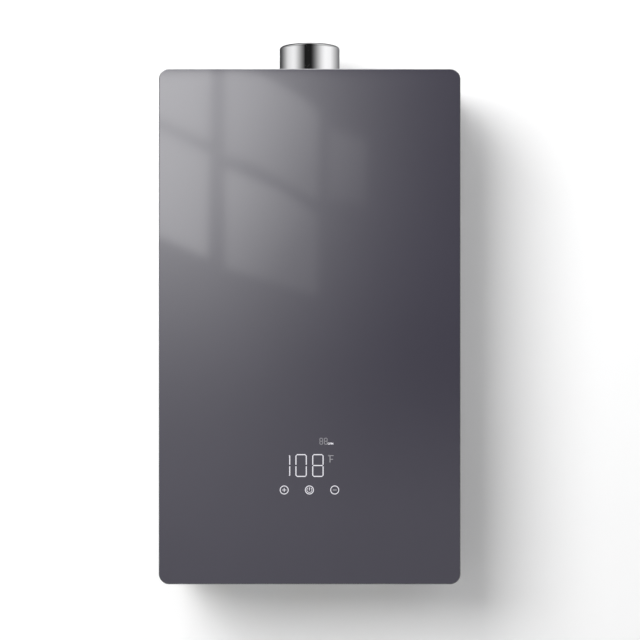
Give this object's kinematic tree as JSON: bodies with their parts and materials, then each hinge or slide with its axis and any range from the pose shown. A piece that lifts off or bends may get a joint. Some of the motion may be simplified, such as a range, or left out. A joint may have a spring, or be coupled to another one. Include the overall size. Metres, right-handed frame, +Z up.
{
  "type": "instant gas water heater",
  "caption": "Wall-hung instant gas water heater: tall dark glass front over a steel case, chromed round flue collar on top, threaded fittings below, and fan, exchanger and burner inside.",
  "frame": {"origin": "on the wall plane, at the middle of the four wall-fixing holes", "axes": "+X to the right seen from the front, +Y from the front into the wall, +Z up"},
  "size_m": [0.35, 0.148, 0.6496],
  "materials": {
    "smoked_glass": "dark tinted tempered glass with a mirror gloss",
    "case_grey": "fine-textured grey powder coat",
    "galvanised": "bare zinc-coated sheet",
    "chrome": "polished chrome",
    "steel": "plain steel",
    "copper": "copper with heat tint",
    "brass": "turned brass",
    "foam": "black foam",
    "rubber": "black rubber",
    "motor_paint": "black",
    "windings": "enamelled wire on steel",
    "black_plastic": "moulded",
    "white_plastic": "moulded",
    "green_board": "circuit board",
    "ceramic": "white ceramic",
    "blue_plastic": "moulded",
    "cast_aluminium": "as cast",
    "red_silicone": "silicone sleeve"
  },
  "bodies": {
    "chassis": {"back_plate": "galvanised", "top_plate": "galvanised", "bottom_plate": "galvanised", "plate_rivets": "steel", "frame_brackets": "galvanised", "flue_gasket": "rubber", "flue_collar": "chrome", "flap_ring": "steel", "flap_pin": "steel", "chassis_screws": "steel", "fan_volute": "galvanised", "motor_plate": "galvanised", "motor_housing": "motor_paint", "motor_stator": "windings", "fan_bearings": "steel", "exhaust_hood": "galvanised", "exchanger_shell": "copper", "exchanger_fins": "copper", "exchanger_coil": "copper", "cold_pipe": "copper", "hot_pipe": "copper", "burner_tray": "galvanised", "burner_bars": "steel", "gas_manifold": "cast_aluminium", "injectors": "brass", "electrodes": "ceramic", "gas_inlet": "brass", "hot_outlet": "brass", "cold_inlet": "brass", "lock_nuts": "brass", "gas_valve_body": "cast_aluminium", "gas_pipe": "cast_aluminium", "flow_sensor_body": "white_plastic", "controller_box": "white_plastic", "controller_lid": "white_plastic", "controller_board": "green_board", "igniter_module": "black_plastic", "ignition_lead": "red_silicone", "cord_gland": "black_plastic", "safety_coil": "black_plastic", "safety_spring": "steel", "modulator_coil": "black_plastic", "modulator_spring": "steel"},
    "cover": {"glass_panel": "smoked_glass", "glass_tape": "foam", "front_case": "case_grey", "cover_screws": "steel", "cover_nuts": "steel", "display_frame": "black_plastic", "display_board": "green_board", "touch_springs": "steel"},
    "rotor": {"fan_impeller": "steel", "fan_shaft": "steel", "motor_rotor": "steel"},
    "flap": {"flue_flap": "steel"},
    "turbine": {"flow_turbine": "black_plastic"},
    "safety_valve": {"safety_plunger": "steel"},
    "modulator": {"modulator_plunger": "steel"},
    "drain_stem": {"drain_washer": "rubber"},
    "knob": {"drain_knob": "blue_plastic"}
  },
  "joints": [
    {"name": "cover_removal", "type": "slide", "parent": "chassis", "child": "cover", "axis": [0, -1, 0], "range_m": [0, 0.18]},
    {"name": "fan_spin", "type": "hinge", "parent": "chassis", "child": "rotor", "pos_m": [-0.048, -0.07, 0.224], "axis": [0, -1, 0], "continuous": true},
    {"name": "flap_swing", "type": "hinge", "parent": "chassis", "child": "flap", "pos_m": [0, -0.064, 0.314], "axis": [-1, 0, 0], "range_deg": [0, 60]},
    {"name": "turbine_spin", "type": "hinge", "parent": "chassis", "child": "turbine", "pos_m": [0.1051, -0.046, -0.236], "axis": [0, 0, 1], "continuous": true},
    {"name": "safety_lift", "type": "slide", "parent": "chassis", "child": "safety_valve", "axis": [0, -1, 0], "range_m": [0, 0.003], "stiffness_N_per_m": 150, "springref_m": -0.004, "deforming": ["safety_spring"]},
    {"name": "modulator_lift", "type": "slide", "parent": "chassis", "child": "modulator", "axis": [0, -1, 0], "range_m": [0, 0.0025], "stiffness_N_per_m": 150, "springref_m": -0.002, "deforming": ["modulator_spring"]},
    {"name": "drain_travel", "type": "slide", "parent": "chassis", "child": "drain_stem", "axis": [0, 0, -1], "range_m": [0, 0.003]},
    {"name": "drain_turn", "type": "hinge", "parent": "drain_stem", "child": "knob", "pos_m": [0.1381, -0.046, -0.3], "axis": [0, 0, 1], "range_deg": [0, 720]}
  ],
  "couplings": [
    {"joint": "drain_travel", "follows": "drain_turn", "m_per_rad": 0.0002387}
  ]
}
